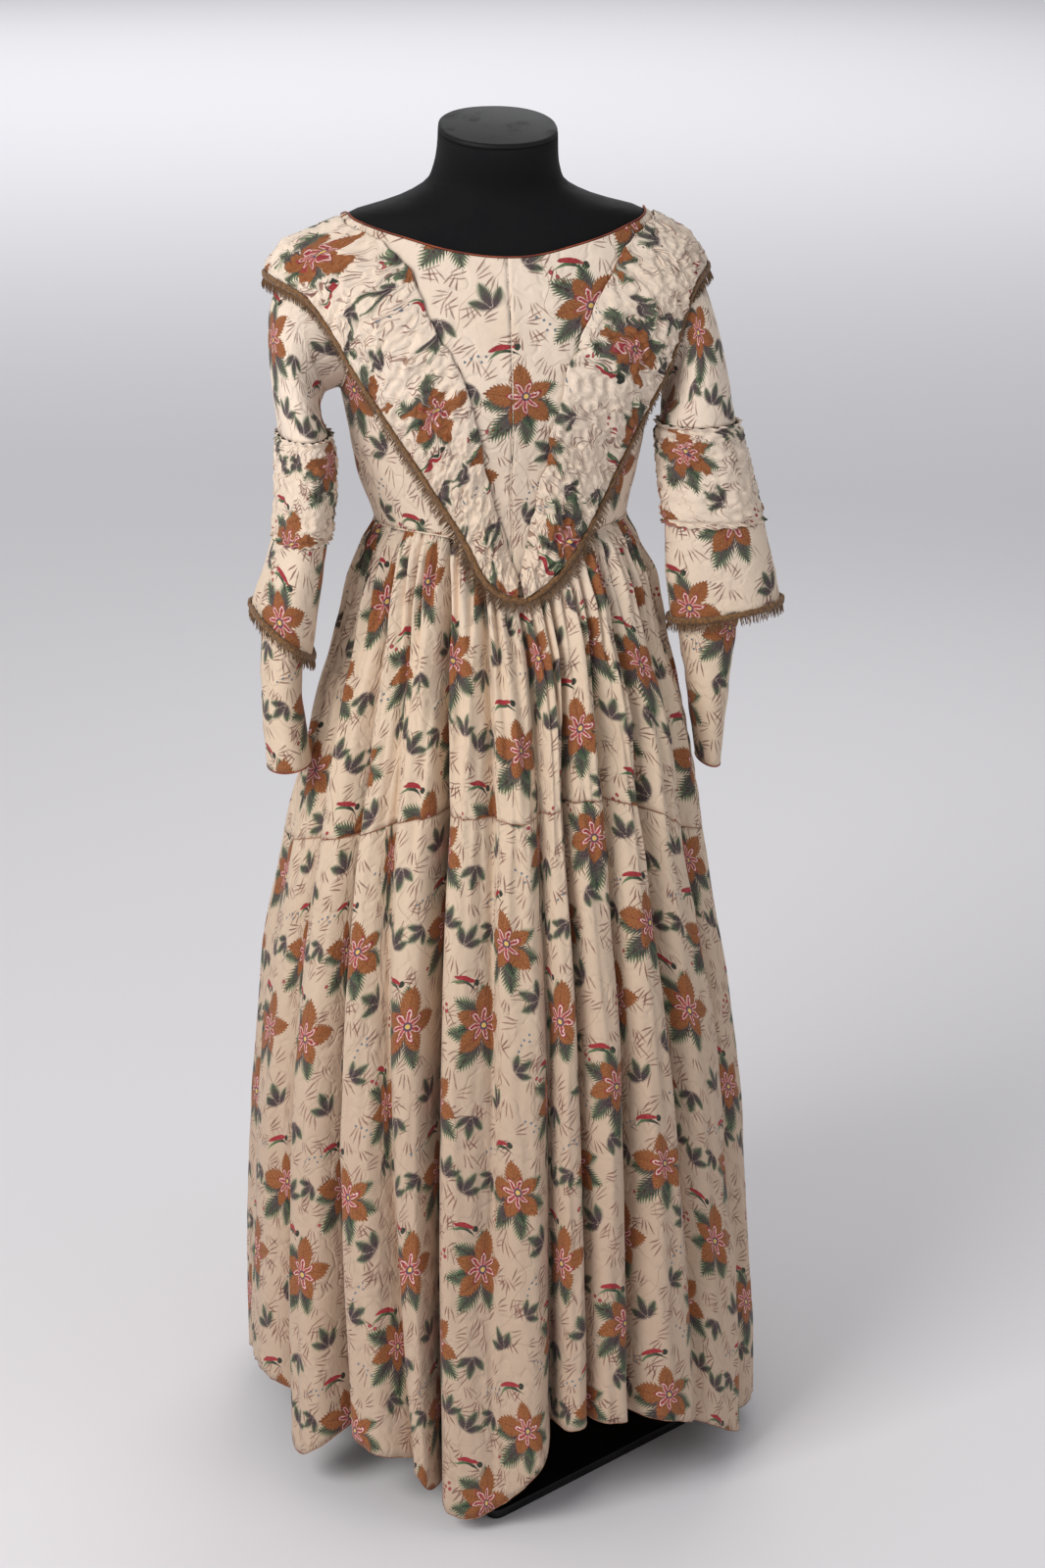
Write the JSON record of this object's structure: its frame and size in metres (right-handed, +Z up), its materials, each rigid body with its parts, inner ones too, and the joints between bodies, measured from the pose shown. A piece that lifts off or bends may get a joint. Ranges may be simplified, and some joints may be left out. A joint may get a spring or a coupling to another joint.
{
  "type": "evening dress on a dress form",
  "caption": "Floor-length printed cotton evening dress with a pointed waist, puckered shoulder bands, fringed bell sleeves and a gathered two-tier skirt, on a limbless form with a flat stand.",
  "frame": {"origin": "on the underside of the stand's base, on the pole's axis", "axes": "+Z up along the pole, -Y towards the front of the dress, +X towards the dress's left arm"},
  "size_m": [0.5607, 0.6242, 1.3937],
  "materials": {
    "printed_cotton": "matt plain-weave cotton, cream ground with a rust, green and crimson floral print",
    "braid": "brown woven braid with silky fringe",
    "piping": "rust-red cotton piping",
    "form_cover": "black stretched jersey",
    "form_cap": "dark grey satin cap",
    "stand_metal": "black satin powder coat"
  },
  "bodies": {
    "root": {"form_torso": "form_cover", "form_cap": "form_cap", "stand_base": "stand_metal", "stand_pole": "stand_metal", "bodice_front_left": "printed_cotton", "bodice_front_right": "printed_cotton", "bodice_back_left": "printed_cotton", "bodice_back_right": "printed_cotton", "neck_piping": "piping", "puckered_band_left": "printed_cotton", "puckered_band_right": "printed_cotton", "skirt_upper_front": "printed_cotton", "skirt_upper_back": "printed_cotton", "skirt_lower_front": "printed_cotton", "skirt_lower_back_left": "printed_cotton", "skirt_lower_back_right": "printed_cotton", "skirt_piping_front": "piping", "skirt_piping_back": "piping", "sleeve_upper_left": "printed_cotton", "sleeve_puckered_left": "printed_cotton", "sleeve_bell_left": "printed_cotton", "sleeve_lower_left": "printed_cotton", "sleeve_upper_right": "printed_cotton", "sleeve_puckered_right": "printed_cotton", "sleeve_bell_right": "printed_cotton", "sleeve_lower_right": "printed_cotton", "band_fringe_left": "braid", "band_fringe_right": "braid", "bell_fringe_left": "braid", "bell_fringe_right": "braid"}
  },
  "joints": []
}
